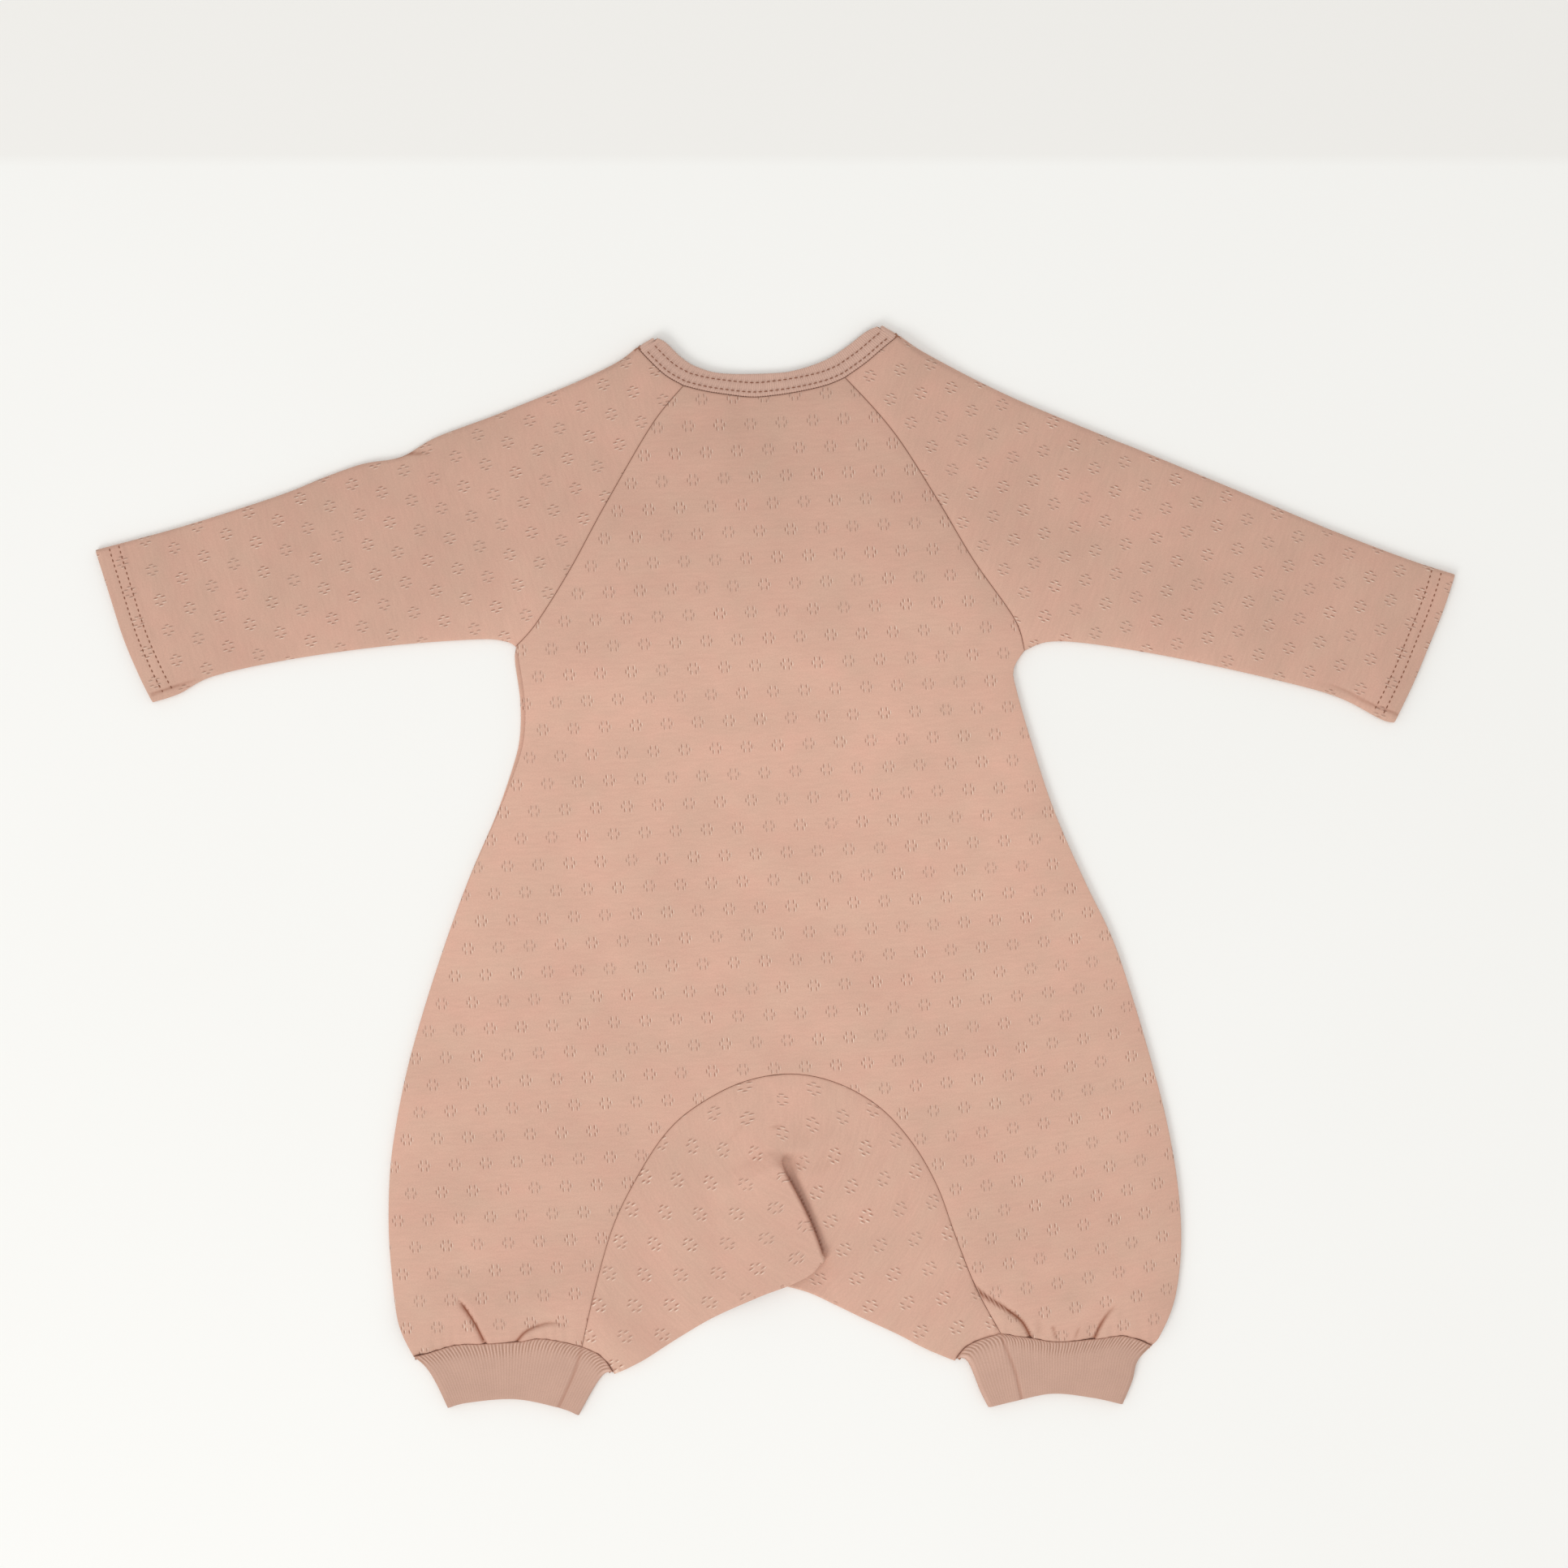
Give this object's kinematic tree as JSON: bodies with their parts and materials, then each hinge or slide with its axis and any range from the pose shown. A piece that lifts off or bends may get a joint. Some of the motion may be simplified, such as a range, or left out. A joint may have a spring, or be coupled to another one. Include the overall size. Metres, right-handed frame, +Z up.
{
  "type": "baby romper",
  "caption": "Baby romper with raglan sleeves, crotch gusset, rib leg cuffs and bound round neck, laid out flat on its front with the back uppermost.",
  "frame": {"origin": "centre of the garment's bounding box, on the surface it lies on", "axes": "+X across the garment from sleeve hem to sleeve hem, +Y from the legs to the neck, +Z up from the surface, out of the back"},
  "size_m": [0.669, 0.5359, 0.0102],
  "materials": {
    "jersey": "dusty pink cotton pointelle jersey",
    "rib": "dusty pink cotton rib"
  },
  "bodies": {
    "root": {"back_panel": "jersey", "front_panel": "jersey", "sleeve_left": "jersey", "sleeve_right": "jersey", "gusset": "jersey", "cuff_left": "rib", "cuff_right": "rib", "neck_binding": "rib"}
  },
  "joints": []
}
